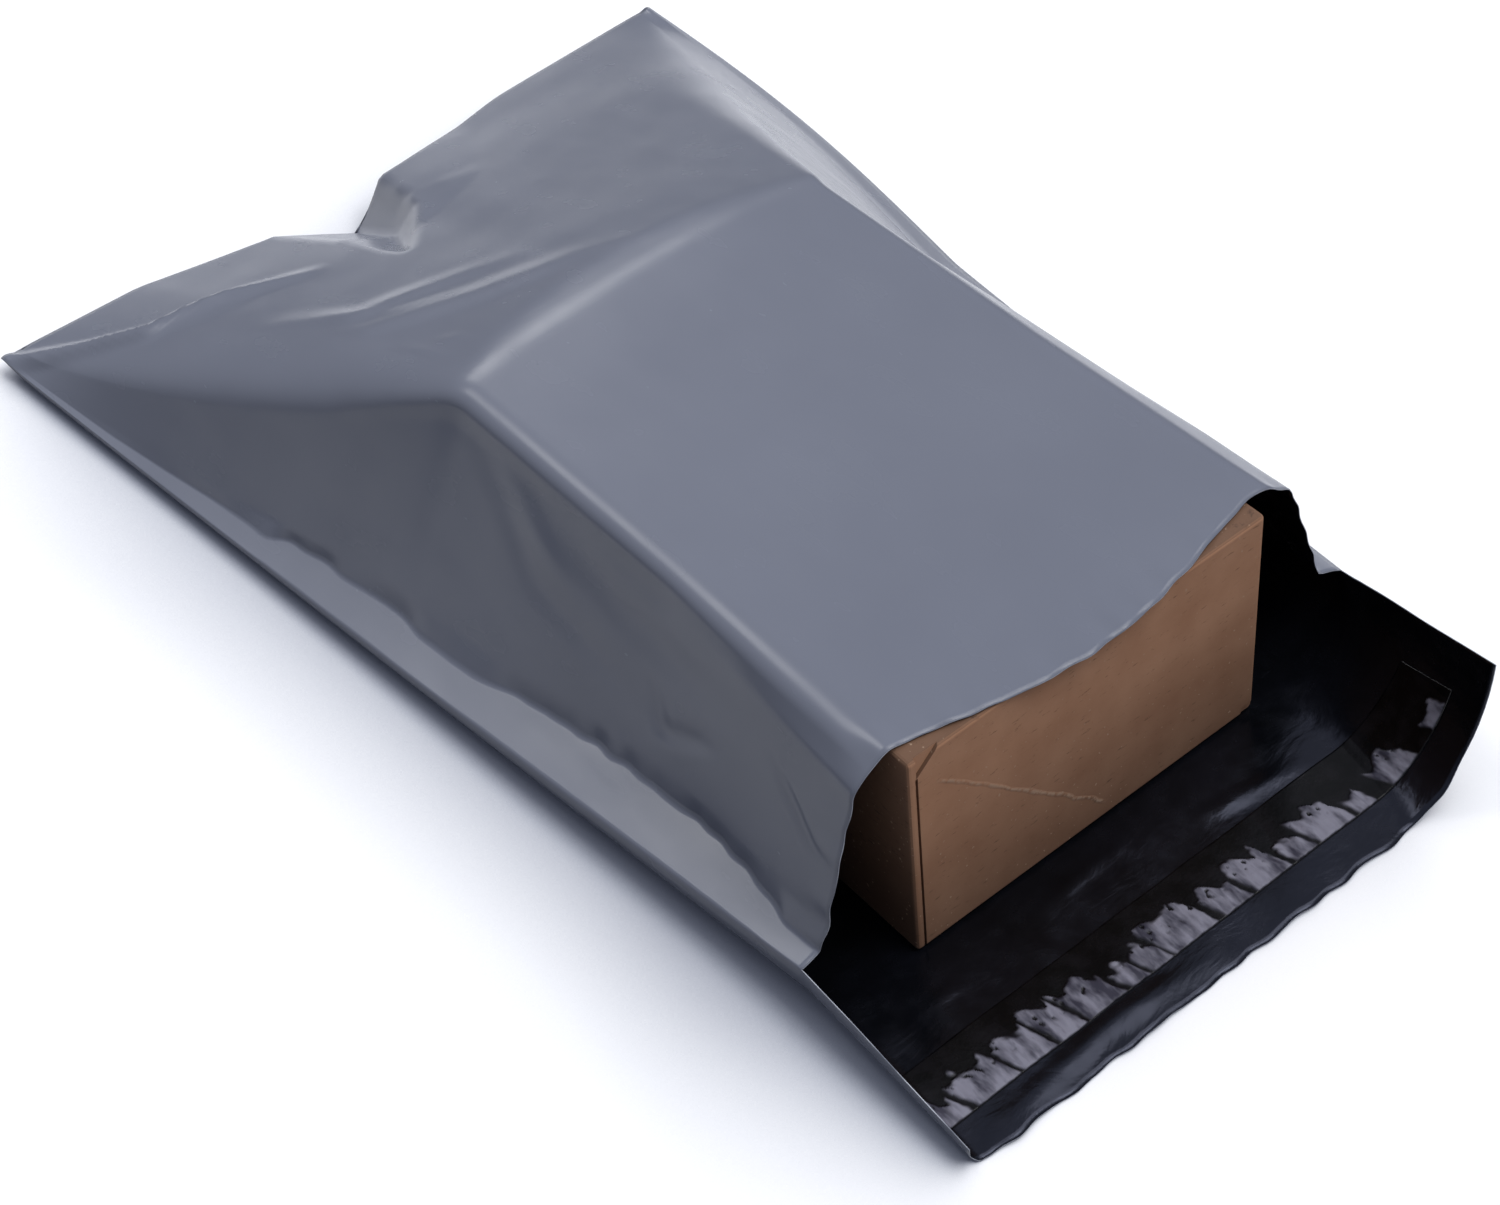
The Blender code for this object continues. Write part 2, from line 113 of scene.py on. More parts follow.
def makeCamera():
    azimuth = math.radians(camera["azimuth"])
    elevation = math.radians(camera["elevation"])
    roll = math.radians(camera["roll"])
    back = Vector((math.sin(azimuth) * math.cos(elevation),
                   -math.cos(azimuth) * math.cos(elevation),
                   math.sin(elevation)))
    level = Vector((0, 0, 1)).cross(back).normalized()
    upright = back.cross(level)
    right = level * math.cos(roll) + upright * math.sin(roll)
    up = upright * math.cos(roll) - level * math.sin(roll)
    data = bpy.data.cameras.new("camera")
    data.lens = camera["lens"]
    data.sensor_width = 36
    data.clip_start = 0.01
    data.clip_end = 20
    made = bpy.data.objects.new("camera", data)
    place = Vector(camera["target"]) + back * camera["distance"]
    made.matrix_world = Matrix((
        (right.x, up.x, back.x, place.x),
        (right.y, up.y, back.y, place.y),
        (right.z, up.z, back.z, place.z),
        (0, 0, 0, 1),
    ))
    bpy.context.scene.collection.objects.link(made)
    bpy.context.scene.camera = made
    print("camera placed")


# studio

studio = {
    "floorSize": 1.25,
    "floorMiddle": (0, 0.13, -0.2 * mm),
    "floorSeen": "#ffffff",
    "floorBounce": "#6f7176",
    "paperFrom": 0.34,                       # where the paper starts to fade into plain white
    "paperTo": 0.60,
    "shadeReach": 0.060,                     # soft shade beside the bag, on the side away from the lamps
    "shadeFrom": (0.80, -0.10, 0.60),
    "shadeFull": 0.30,                       # share of open sky at which the shade is full, and none
    "shadeNone": 0.98,
    "shadeDeep": "#8d93a3",
    "keyStrength": 1.10,
    "keyAngle": 24.0,                        # degrees across, the softness of its shadow
    "keyFrom": (0.27, -0.45, 0.85),
    "sideStrength": 1.02,
    "sideAngle": 34.0,
    "sideFrom": (0.38, -0.05, 0.92),
    "softboxAim": (0, 0.13, 0.06),
    "rearPlace": (0.50, 1.38, 0.92),
    "rearSize": 0.4,
    "rearPower": 2.4,
    "ridgePlace": (-0.16, 1.02, 1.38),
    "ridgeSize": 0.5,
    "ridgePower": 4.0,
    "worldDark": 0.14,                       # on the left, and low down
    "worldBright": 0.58,                     # on the right, and overhead
    "worldLean": 0.7,                        # how much the right counts beside overhead
    "worldRange": (-0.5, 1.2),
    "mirroredDark": 0.09,                    # what gloss sees at the horizon
    "mirroredBright": 1.0,                   # and overhead
    "mirroredFrom": 0.78,                    # height in the sky from which it is fully bright
    "worldColour": "#e9eeff",
}


def makeFloor():
    bpy.ops.mesh.primitive_grid_add(x_subdivisions=2, y_subdivisions=2, size=studio["floorSize"])
    floor = bpy.context.object
    floor.name = "floor"
    floor.location = studio["floorMiddle"]
    material, tree, shader = newMaterial("matte white paper sweep", Roughness=0.9)
    # the camera and reflections see white paper, while what it throws back on the bag is duller
    rays = addNode(tree, "LightPath")
    seen = addNode(tree, "Math", {0: rays.outputs["Is Camera Ray"], 1: rays.outputs["Is Glossy Ray"]},
                   operation="MAXIMUM")
    seen = addNode(tree, "Math", {0: seen, 1: rays.outputs["Is Transmission Ray"]}, operation="MAXIMUM")
    # what the lamps on the right can't reach, close to the bag
    lampSide = addNode(tree, "CombineXYZ", values=dict(enumerate(studio["shadeFrom"])))
    unshaded = addNode(tree, "AmbientOcclusion", {"Normal": lampSide}, {"Distance": studio["shadeReach"]},
                       samples=8)
    unshaded = addNode(tree, "MapRange", {"Value": unshaded.outputs["AO"]},
                       {"From Min": studio["shadeFull"], "From Max": studio["shadeNone"]})
    paper = addNode(tree, "Mix", {0: unshaded}, {6: hexToLinear(studio["shadeDeep"]),
                                                 7: hexToLinear(studio["floorSeen"])}, data_type="RGBA")
    colour = addNode(tree, "Mix", {0: seen, 7: paper.outputs[2]}, {6: hexToLinear(studio["floorBounce"])},
                     data_type="RGBA")
    link(tree, shader, {"Base Color": colour.outputs[2]})
    # away from the bag the paper is plain white, without its shadow
    away = addNode(tree, "VectorMath", {0: addNode(tree, "TexCoord").outputs["Object"]}, operation="LENGTH")
    fade = addNode(tree, "MapRange", {"Value": away.outputs["Value"]},
                   {"From Min": studio["paperFrom"], "From Max": studio["paperTo"]},
                   interpolation_type="SMOOTHSTEP")
    fade = addNode(tree, "Math", {0: fade, 1: seen}, operation="MULTIPLY")
    plain = addNode(tree, "Emission", values={"Color": hexToLinear(studio["floorSeen"])})
    both = addNode(tree, "MixShader", {0: fade, 1: shader, 2: plain})
    link(tree, tree.nodes["Material Output"], {"Surface": both})
    floor.data.materials.append(material)


def makeSoftbox(name, place, size, power):
    data = bpy.data.lights.new(name, "AREA")
    data.shape = "DISK"
    data.size = size
    data.energy = power
    lamp = bpy.data.objects.new(name, data)
    lamp.location = place
    lamp.rotation_euler = (Vector(place) - Vector(studio["softboxAim"])).to_track_quat("Z", "Y").to_euler()
    bpy.context.scene.collection.objects.link(lamp)


def makeKey(name, strength, angle, comesFrom):
    data = bpy.data.lights.new(name, "SUN")
    data.energy = strength
    data.angle = math.radians(angle)
    lamp = bpy.data.objects.new(name, data)
    lamp.rotation_euler = Vector(comesFrom).to_track_quat("Z", "Y").to_euler()
    bpy.context.scene.collection.objects.link(lamp)


def makeWorld():
    world = bpy.data.worlds.new("white studio")
    bpy.context.scene.world = world
    world.use_nodes = True
    tree = world.node_tree
    rays = addNode(tree, "LightPath")
    # plain white to the eye; as light it is brighter overhead and on the right
    way = addNode(tree, "SeparateXYZ", {0: addNode(tree, "TexCoord").outputs["Generated"]})
    lean = addNode(tree, "Math", {0: way.outputs["X"], 2: way.outputs["Z"]}, {1: studio["worldLean"]},
                   operation="MULTIPLY_ADD")
    low, high = studio["worldRange"]
    light = addNode(tree, "MapRange", {"Value": lean}, {"From Min": low, "From Max": high,
                                                        "To Min": studio["worldDark"],
                                                        "To Max": studio["worldBright"]})
    mirrored = addNode(tree, "MapRange", {"Value": way.outputs["Z"]},
                       {"From Max": studio["mirroredFrom"], "To Min": studio["mirroredDark"],
                        "To Max": studio["mirroredBright"]})
    light = addNode(tree, "Mix", {0: rays.outputs["Is Glossy Ray"], 2: light, 3: mirrored})
    seen = addNode(tree, "Math", {0: rays.outputs["Is Camera Ray"], 1: rays.outputs["Is Transmission Ray"]},
                   operation="MAXIMUM")
    strength = addNode(tree, "Mix", {0: seen, 2: light}, {3: 1.0})
    colour = addNode(tree, "Mix", {0: seen}, {6: hexToLinear(studio["worldColour"]),
                                             7: hexToLinear("#ffffff")}, data_type="RGBA")
    link(tree, tree.nodes["Background"], {"Color": colour.outputs[2], "Strength": strength})


def makeStudio():
    makeFloor()
    makeKey("key", studio["keyStrength"], studio["keyAngle"], studio["keyFrom"])
    makeKey("side key", studio["sideStrength"], studio["sideAngle"], studio["sideFrom"])
    makeSoftbox("rear softbox", studio["rearPlace"], studio["rearSize"], studio["rearPower"])
    makeSoftbox("ridge softbox", studio["ridgePlace"], studio["ridgeSize"], studio["ridgePower"])
    makeWorld()
    bpy.context.scene.view_settings.view_transform = "Standard"
    print("studio set")


# film of the bag

film = {
    "thickness": 0.25 * mm,       # thicker than the real 60 microns, so that its cut edge shows
    "flatWidth": 0.250,
    "bodyLength": 0.348,
    "flapLength": 0.0618,
    "mouthSetback": 0.006,        # seams' mouth end, behind the carton's front
    "mouthOverhang": 0.0105,      # middle of the mouth, in front of its ends
    "endDrift": 0.0024,           # closed end, towards the far side
    "endTakeUp": 0.0030,          # width that the closed end loses as it rises
    "cornerTuck": 0.0080,         # ridges end this far inside the closed end's corners
    "crestBack": 2.0 * mm,        # where the film leaves the carton, behind its rear edge
    "crestRound": 6.0 * mm,       # and further back in the middle
    "crestBulge": 0.0120,         # rows behind the carton bow back by this
    "shoulderDrop": 0.0080,       # of the walls' shoulders at the mouth, below the film's top
    "shoulderAt": (0.12, 0.5),    # share of the way from ridge to seam, at the mouth and the closed end
    "ragged": 0.03,               # ragged inner edge of the skirt
    "raggedMm": 12.0,
    "raggedRange": (0.10, 0.20),  # fades out between these, along the bag
    "footSmooth": 26.0 * mm,      # over which the foot of the near wall evens out the ragged skirt
    "curlRise": 0.0300,           # length over which the back sheet rises to the closed end
    "endLap": 0.4 * mm,           # the back sheet stays this far under the front at the closed end
    "clearance": 0.8 * mm,        # of the ridges beside the carton
    "leastClearance": 0.4 * mm,   # outer face of the film to the carton, where it lies closest
    "rollStandOff": 2.8 * mm,     # the rolls' corners stand this far out from the ridges
    "facetLeast": 2.0 * mm,       # lens-shaped facet behind the carton's rear top edge, its depth
    "facetDepth": 10.0 * mm,
    "facetSlope": 0.45,           # its slope, as a share of the slope behind it
    "rows": 172,
    "rowCrowding": 0.09,          # rows lie closer at both ends
    "backColumns": 48,
    "flapRows": 34,
    "scallop": 0.28 * mm,         # wavy cut edge of the mouth
    "scallopMm": 14.0,
    "scallopReach": 0.014,
    "sway": 0.22 * mm,            # slack left in the film between its creases
    "swayMm": 46.0,
    "swayOnTop": 0.25,            # share of it where the film lies on the carton
    "weldReach": 0.03,            # it dies away this far from the closed end
    "fanOpening": 0.6,            # a fan opens fast, then more slowly
    "creaseShares": (0, 0.35, 0.65, 1),    # a crease has its full height between the middle two
}
# columns of the front sheet: skirt, wall, roll over the edge, top, roll, far wall
columnCounts = (12, 40, 20, 78, 12, 30)
columns = sum(columnCounts)

# one side of the bag: which way it faces, the heights of its seam at the mouth, the closed end and
# the flap's edge, and how its wall, its rolled top edge and its curled margin stand; fade is how far
# back the shoulder reaches, and skirtWide is (distance from the mouth, width), both in mm
near = {"sign": -1, "seamMouth": 0.0172, "seamEnd": 0.0050, "flapEdge": 0.0075, "flapLean": 0.0,
        "curl": 0.0080, "shoulder": 0.0070, "fade": 0.0800, "bulge": 0.0, "skirtRise": 0.27,
        "roll": 0.0045, "rollRear": 0.045, "rollOnTop": 1.6, "heelShare": 0.12,
        "skirtWide": [(0, 6), (13, 6.5), (19, 9), (29, 11.4), (37, 13.3), (46, 14.2), (52, 15.7),
                      (57, 14.6), (76, 15.4), (94, 15.3), (121, 13.6), (136, 10.2), (160, 10.2),
                      (168, 12.2), (179, 11.9), (194, 10.4), (201, 11.6), (211, 9.8), (216, 10.6),
                      (223, 6.0), (231, 6.4), (248, 5.8), (269, 4), (294, 2.4), (348, 0.8)]}
far = {"sign": 1, "seamMouth": 0.0212, "seamEnd": 0.0110, "flapEdge": 0.0437, "flapLean": 0.0125,
       "curl": 0.0280, "shoulder": 0.0110, "fade": 0.1690, "bulge": 0.0050, "skirtRise": 0.60,
       "roll": 0.0035, "rollRear": 0.022, "rollOnTop": 1.0, "heelShare": 0.2,
       "skirtWide": [(0, 9), (168, 9), (348, 1)]}

# closed end: share of the half width, how far its edge is drawn in, height
closedEnd = np.array([
    (-1.00, 0.0000, 0.0050),
    (-0.65, 0.0050, 0.0080),
    (-0.30, 0.0215, 0.0140),
    (-0.06, 0.0260, 0.0146),
    (0.11, 0.0235, 0.0150),
    (0.50, 0.0105, 0.0105),
    (1.00, 0.0085, 0.0110),
])

# creases, in mm: a line over the plan (x, y), or up the near wall (y, z) where it is on the wall, the
# height of its crest (below 0 for a fold), how far it reaches to its left and right, and its share at
# both ends; soft ones are rounded, and a fan widens and deepens along its line
creases = [
    {"line": [(-20, 270), (-8, 300), (-7, 334)], "height": -12.5, "reach": (26, 13),
     "fan": True},
    {"line": [(-9, 284), (4, 306), (8, 334)], "height": 3.0, "reach": (8, 34),
     "fan": True},
    {"line": [(-120, 352), (-103, 331), (-88, 315), (-64, 307), (-38, 288)],
     "height": 3.4, "reach": (4, 5), "ends": (0.5, 0)},
    {"line": [(-86, 309), (-70, 303), (-58, 298)], "height": 0.7, "reach": (2, 4)},
    {"line": [(-72, 281), (-54, 246), (-39, 239), (-22, 231), (-6, 222)],
     "height": 1.0, "reach": (8, 3)},
    {"line": [(-62, 252), (-56, 234), (-41, 223), (-29, 215), (-15, 208), (12, 199)],
     "height": 1.3, "reach": (10, 3.5)},
    {"line": [(-60, 262), (-47, 236), (-30, 226)], "height": 0.5, "reach": (3, 2)},
    {"line": [(-53, 208), (-47, 202), (-42, 195)], "height": 0.6, "reach": (2, 2.5)},
    {"line": [(-58, 219), (-53, 194)], "height": 0.5, "reach": (3, 2)},
    {"line": [(-6, 205), (10, 197), (22, 191)], "height": 0.4, "reach": (2, 1.5)},
    {"onWall": True, "line": [(170, 71), (148, 58), (132, 45), (99, 38), (79, 30)], "height": -0.5,
     "reach": (6, 6)},
    {"onWall": True, "line": [(160, 69), (141, 61), (126, 52), (110, 46)], "height": 0.4,
     "reach": (6, 6), "soft": True},
    {"onWall": True, "line": [(160, 68), (121, 62), (99, 56), (75, 54), (53, 56), (36, 58)],
     "height": -0.7, "reach": (9, 8), "soft": True},
    {"onWall": True, "line": [(84, 41), (77, 33), (68, 37), (56, 43)], "height": -0.9,
     "reach": (3, 6), "soft": True},
    {"onWall": True, "line": [(84, 46), (80, 38), (78.5, 29)], "height": -0.6, "reach": (2, 3)},
    {"onWall": True, "line": [(36, 57), (24, 49), (16, 44), (8, 42)], "height": -0.8, "reach": (5, 1.5)},
]

mouthY = film["mouthSetback"]
endY = mouthY + film["bodyLength"]
flapEndY = mouthY - film["flapLength"]
wallLength = film["flatWidth"] / 2 - cartonHalf


def mix(a, b, t):
    return a + (b - a) * t


def clamp(value):
    return min(max(value, 0.0), 1.0)


def smooth(low, high, value):
    t = np.clip((value - low) / (high - low), 0, 1)
    return t * t * (3 - 2 * t)


def ripple(points, sizeMm, seed):
    # soft random waves about sizeMm long, between about -1 and 1
    waves = 9
    rng = np.random.default_rng(seed)
    total = np.zeros(points.shape[:-1])
    for _ in range(waves):
        way = rng.normal(size=points.shape[-1])
        way *= 2 * math.pi / (sizeMm * mm * rng.uniform(0.7, 1.7) * np.linalg.norm(way))
        total += np.sin(points @ way + rng.uniform(0, 2 * math.pi))
    return total / math.sqrt(waves)


def rearShare(y):
    return clamp((y - cartonRear) / (endY - cartonRear))


def softKinks(column):
    # a column of the closed end's table at even shares, with its kinks rounded
    values = np.interp(closedShares, closedEnd[:, 0], closedEnd[:, column])
    reach = 8
    padded = np.pad(values, reach, mode="edge")
    return np.convolve(padded, np.ones(2 * reach + 1) / (2 * reach + 1), mode="valid")


closedShares = np.linspace(-1, 1, 401)
closedInset, closedHeight = softKinks(1), softKinks(2)


def endInset(share):
    return np.interp(share, closedShares, closedInset)


def endHeight(share):
    return np.interp(share, closedShares, closedHeight)


def cornerX(side):
    return (film["flatWidth"] - film["endTakeUp"]) / 2 + side["sign"] * film["endDrift"]


def seamPoint(side, y):
    drop = topHeight - side["seamMouth"]
    mouthX = cartonHalf + math.sqrt(wallLength ** 2 - drop ** 2)
    s = clamp((y - mouthY) / film["bodyLength"])
    flap = clamp((mouthY - y) / film["flapLength"])
    x = mix(mouthX, cornerX(side), s) - side["flapLean"] * flap
    x += side["bulge"] * math.sin(math.pi * rearShare(y))
    z = mix(side["seamMouth"], side["seamEnd"], 1 - (1 - s) ** 2)
    return Vector((side["sign"] * x, mix(z, side["flapEdge"], flap)))


def rowBow(share, t):
    # how a cross-section bows back behind the carton and is drawn in at the closed end
    return film["crestBulge"] * (1 - share ** 2) * 4 * t * (1 - t) ** 3 - endInset(share) * t ** 2


def rowPlace(share, y):
    # how far back a point of the row at y lies, by its share of the half width
    t = rearShare(y)
    nearness = clamp(1 - (y - mouthY) / cartonRear)
    forward = film["mouthOverhang"] * (1 - share ** 2) ** 1.5 * nearness ** 2
    return y - forward + rowBow(share, t)


def topProfile(share, y):
    # flat on the carton, a narrow facet behind its rear edge, then down to the closed end
    crest = cartonRear + film["crestBack"] + film["crestRound"] * (1 - share ** 2)
    facet = film["facetLeast"] + film["facetDepth"] * (1 - share ** 2)
    run = endY - endInset(share) - crest
    slope = (topHeight - endHeight(share)) / (run - (1 - film["facetSlope"]) * facet)
    fallen = film["facetSlope"] * np.clip(y - crest, 0, facet) + np.clip(y - crest - facet, 0, None)
    return topHeight - slope * fallen


def ridgePoint(side, y):
    x = mix(cartonHalf + film["clearance"], cornerX(side) - film["cornerTuck"], rearShare(y))
    share = float(side["sign"])
    return Vector((side["sign"] * x, float(topProfile(share, rowPlace(share, y)))))


def resample(line, shares):
    # points on a line at the given shares of its length
    line = np.array([tuple(p) for p in line])
    length = lengthAlong(line)
    return np.stack([np.interp(shares * length[-1], length, column) for column in line.T], -1)


def even(count):
    return np.linspace(0, 1, count + 1)


def lengthAlong(line):
    # distance of each point from the line's first one
    return np.cumsum(np.linalg.norm(np.diff(line, axis=0, prepend=line[:1]), axis=1))


def fillet(start, corner, end):
    turns = np.linspace(0, 1, 24)
    return [start.lerp(corner, t).lerp(corner.lerp(end, t), t) for t in turns]


def skirtWidth(side, y):
    table = np.array(side["skirtWide"])
    return np.interp((y - mouthY) / mm, table[:, 0], table[:, 1]) * mm


def wallParts(side, y, top):
    # skirt, wall and roll of one side, each a line of (x, z) from the seam up
    t = rearShare(y)
    seam, ridge = seamPoint(side, y), ridgePoint(side, y)
    opened = clamp(1 - (y - mouthY) / side["fade"])
    shoulder = ridge.lerp(seam, mix(*film["shoulderAt"], t))
    shoulder.x += side["sign"] * side["shoulder"] * opened
    shoulder.y = mix(shoulder.y, topHeight - film["shoulderDrop"], opened)
    inward = Vector((-side["sign"], side["skirtRise"]))
    raggedTo, raggedEnd = film["raggedRange"]
    ragged = film["ragged"] * float(ripple(np.array([y]), film["raggedMm"], 3))
    ragged *= smooth(raggedEnd, raggedTo, y)
    skirt = seam + inward * float(skirtWidth(side, y)) * (1 + ragged)
    around = y + np.linspace(-1, 1, 9) * film["footSmooth"]
    foot = seam + inward * float(skirtWidth(side, around).mean())
    heel = foot.lerp(shoulder, side["heelShare"])
    standOff = max(film["rollStandOff"] * (1 - t), side["shoulder"] * opened / 2)
    corner = ridge + Vector((side["sign"] * standOff, 0))
    size = mix(side["roll"], side["rollRear"], t ** 1.3)
    onTop = size * mix(side["rollOnTop"], 1, t)
    landing = Vector((side["sign"] * (abs(corner.x) - onTop), 0))
    landing.y = np.interp(landing.x, top[:, 0], top[:, 1])
    leaving = corner.lerp(shoulder, min(size / (corner - shoulder).length, 0.9))
    return [seam, skirt], [skirt, heel, shoulder, leaving], fillet(leaving, corner, landing)


def frontRow(y):
    # one cross-section of the front sheet, seam to seam, as (x, y, z)
    left, right = ridgePoint(near, y).x, ridgePoint(far, y).x
    shares = np.linspace(-1, 1, 241)
    topX = mix(left, right, (shares + 1) / 2)
    top = np.stack([topX, topProfile(shares, rowPlace(shares, y))], -1)
    skirt, wall, roll = wallParts(near, y, top)
    farSkirt, farWall, farRoll = wallParts(far, y, top)
    flat = top[(top[:, 0] > roll[-1].x) & (top[:, 0] < farRoll[-1].x)]
    flat = [roll[-1]] + [Vector(p) for p in flat] + [farRoll[-1]]
    pieces = [skirt, wall, roll, flat, farRoll[::-1], (farSkirt + farWall)[::-1]]
    points = [resample(piece, even(count))[1:] for piece, count in zip(pieces, columnCounts)]
    points = np.concatenate([[tuple(skirt[0])]] + points)
    share = np.clip(2 * (points[:, 0] - left) / (right - left) - 1, -1, 1)
    return np.stack([points[:, 0], rowPlace(share, y), points[:, 1]], -1)


def curlLine(side, y):
    # margin of the back sheet from its seam down to the table, as (x, z)
    seam = seamPoint(side, y)
    reach = side["curl"] * min(seam.y / side["seamMouth"], 1)
    turns = np.linspace(0, math.pi / 2, 14)
    return [(seam.x - side["sign"] * reach * (1 - math.cos(a)), seam.y * (1 - math.sin(a))) for a in turns]


def backRow(y, shares, endEdge=None):
    # one cross-section of the back sheet, seam to seam, as (x, y, z); endEdge is the front's last row
    points = resample(curlLine(near, y) + curlLine(far, y)[::-1], shares)
    share = np.clip(points[:, 0] / np.abs(points[:, 0]).max(), -1, 1)
    lift = clamp((y - endY + film["curlRise"]) / film["curlRise"]) ** 2
    height = points[:, 1]
    back = y + rowBow(share, rearShare(y))
    if endEdge is not None:
        edgeBack = np.interp(points[:, 0], endEdge[:, 0], endEdge[:, 1])
        edgeHeight = np.interp(points[:, 0], endEdge[:, 0], endEdge[:, 2])
        back = mix(back, edgeBack - (endY - y), lift)
        height = np.maximum(height, (edgeHeight - film["endLap"]) * lift)
    return np.stack([points[:, 0], back, height], -1)


def bodyRows():
    t = np.linspace(0, 1, film["rows"] + 1)
    return mouthY + film["bodyLength"] * (t - film["rowCrowding"] * np.sin(2 * np.pi * t) / np.pi)


def nearestOn(line, flat):
    # signed distance from a line, left of it above 0, and the share of its length
    line = np.array(line) * mm
    lengths = np.linalg.norm(np.diff(line, axis=0), axis=1)
    best = np.full(flat.shape[:-1], np.inf)
    side, along = np.zeros_like(best), np.zeros_like(best)
    done = 0.0
    for a, b, length in zip(line, line[1:], lengths):
        way = (b - a) / length
        offset = flat - a
        run = np.clip(offset @ way, 0, length)
        gap = np.linalg.norm(offset - run[..., None] * way, axis=-1)
        closer = gap < best
        turn = way[0] * offset[..., 1] - way[1] * offset[..., 0]
        best = np.where(closer, gap, best)
        side = np.where(closer, np.sign(turn), side)
        along = np.where(closer, (done + run) / lengths.sum(), along)
        done += length
    return best * side, along


def below(grid, none, full):
    # 1 at full below the film's top and lower, 0 at none and above
    return smooth(topHeight - none, topHeight - full, grid[..., 2])


def gridNormals(grid):
    across = np.gradient(grid, axis=1)
    back = np.gradient(grid, axis=0)
    normal = np.cross(across, back)
    return normal / np.maximum(np.linalg.norm(normal, axis=-1, keepdims=True), 1e-12)


def creaseHeight(grid, crease):
    # how far a crease lifts each point
    onWall = crease.get("onWall", False)
    distance, along = nearestOn(crease["line"], grid[..., 1:] if onWall else grid[..., :2])
    left, right = [reach * mm for reach in crease["reach"]]
    fan = crease.get("fan", False)
    if fan:
        along = np.maximum(along, 0.005) ** film["fanOpening"]
    width = np.where(distance > 0, left, right) * (along if fan else 1)
    rise = np.clip(1 - np.abs(distance) / width, 0, 1)
    if crease.get("soft"):
        rise = smooth(0, 1, rise)
    first, last = crease.get("ends", (0, 0))
    share = along if fan else np.interp(along, film["creaseShares"], [first, 1, 1, last])
    if onWall:
        # the near wall alone, fading out below the film's top
        share = share * (grid[..., 0] < 0) * below(grid, 1 * mm, 8 * mm)
    return (crease["height"] * mm * rise * share)[..., None]


def clearCarton(grid):
    # pushes points out of the carton and its clearance by the shortest way
    gap = film["leastClearance"]
    over = cartonHigh.z + gap - grid[..., 2]
    beside = cartonHalf + gap - np.abs(grid[..., 0])
    behind = cartonRear + gap - grid[..., 1]
    depth = np.stack([over, beside, behind], -1)
    inside = (depth.min(-1) > 0) & (grid[..., 1] > -gap)
    way = depth.argmin(-1)
    up, out, back = inside & (way == 0), inside & (way == 1), inside & (way == 2)
    grid[..., 2][up] = cartonHigh.z + gap
    grid[..., 0][out] = np.sign(grid[..., 0][out]) * (cartonHalf + gap)
    grid[..., 1][back] = cartonRear + gap


def soften(grid, rows):
    # moves the given rows halfway to their neighbours' middle, which rounds the folds there
    part = grid[rows.start - 1:rows.stop + 1]
    middle = (part[:-2] + part[2:]) / 2
    grid[rows] += 0.5 * (middle - grid[rows])


def frontGrid():
    y = bodyRows()
    grid = np.array([frontRow(v) for v in y])
    for crease in creases:
        way = np.array([0, 0, 1.0]) if "fan" in crease else gridNormals(grid)
        grid += way * creaseHeight(grid, crease)
    # slack, little where the film lies on the carton and none where it is welded
    share = even(columns)
    free = np.sin(np.pi * share) ** 0.5 * smooth(endY, endY - film["weldReach"], grid[..., 1])
    free = free * np.maximum(below(grid, 2 * mm, 12 * mm), film["swayOnTop"])
    slack = ripple(grid, film["swayMm"], 11) * film["sway"]
    slack = slack + ripple(grid, film["swayMm"] / 3, 12) * film["sway"] / 9
    grid += gridNormals(grid) * (slack * free)[..., None]
    # scalloped cut edge round the mouth
    edge = smooth(mouthY + film["scallopReach"], mouthY, y)[:, None] * np.sin(np.pi * share) ** 0.25
    edge = edge * film["scallop"]
    length = lengthAlong(grid[0])[:, None]
    grid[..., 1] += edge * ripple(length, film["scallopMm"], 21)
    grid += gridNormals(grid) * (edge * ripple(length, film["scallopMm"] * 0.8, 22))[..., None]
    soften(grid, slice(2, len(y) - 2))
    clearCarton(grid)
    return grid


def gridFaces(first, rows, count):
    faces = []
    for r in range(rows):
        for c in range(count):
            a = first + r * (count + 1) + c
            faces.append((a, a + 1, a + count + 2, a + count + 1))
    return faces


# flap

flap = {
    "waveMm": 30.0,
    "wave": 0.5 * mm,
    "edgeWave": 0.35 * mm,
    "edgeMm": 13.0,
    "edgeReach": 8.0 * mm,
    "cornerCut": 4.5 * mm,
    "cornerFrom": -0.084,         # where the torn corner starts, and where it is torn in full
    "cornerTo": -0.100,
    "tornMm": 3.0,
    "torn": 0.8 * mm,
    "creases": [
        {"line": [(-68, -14), (-56, -13)], "height": 0.5, "reach": (1.5, 3)},
        {"line": [(-30, -12), (8, -9)], "height": 0.5, "reach": (4, 2)},
        {"line": [(20, -16), (58, -22)], "height": 0.6, "reach": (3, 5)},
        {"line": [(-84, -52), (-40, -47), (0, -50)], "height": 0.8, "reach": (4, 6)},
    ],
}


